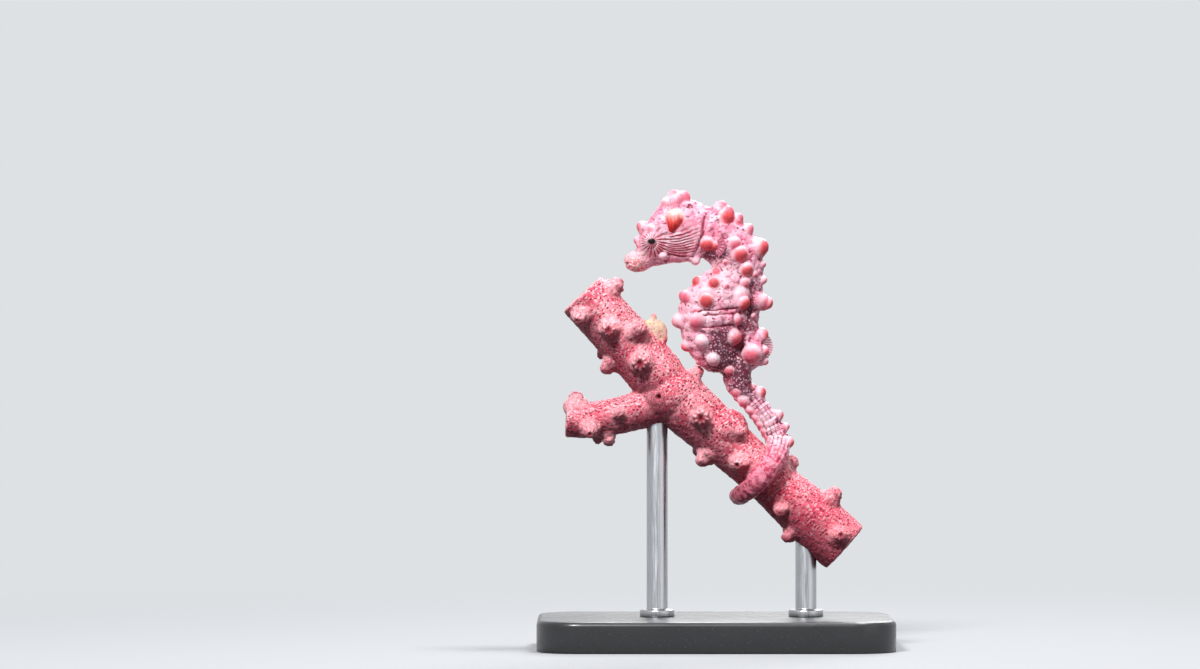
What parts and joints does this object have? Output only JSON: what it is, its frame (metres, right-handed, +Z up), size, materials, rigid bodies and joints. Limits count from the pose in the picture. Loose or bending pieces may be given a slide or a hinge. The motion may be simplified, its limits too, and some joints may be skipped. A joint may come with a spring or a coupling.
{
  "type": "pygmy seahorse model",
  "caption": "Life-size still model of a knobbly pink pygmy seahorse gripping a forked sea fan stem with its tail, held on a flat base with rods.",
  "frame": {"origin": "centre of the stand base's underside", "axes": "+Z up, the snout points along -X and the left flank faces -Y"},
  "size_m": [0.016, 0.01, 0.0205],
  "materials": {
    "skin": "satin",
    "fin": "satin",
    "eye": "gloss",
    "sea_fan": "matte",
    "stand_base": "satin",
    "stand_rod": "satin"
  },
  "bodies": {
    "root": {"snout": "skin", "head": "skin", "coronet": "skin", "eye_left": "eye", "eye_right": "eye", "neck": "skin", "trunk": "skin", "tail_root": "skin", "tail_upper": "skin", "tail_bend": "skin", "tail_front": "skin", "tail_under": "skin", "tail_tip": "skin", "fin_dorsal": "fin", "fin_pectoral_left": "fin", "fin_pectoral_right": "fin", "perch_stem": "sea_fan", "perch_branch_upper": "sea_fan", "perch_branch_side": "sea_fan", "stand_base": "stand_base", "stand_rod_low": "stand_rod", "stand_rod_high": "stand_rod"}
  },
  "joints": []
}
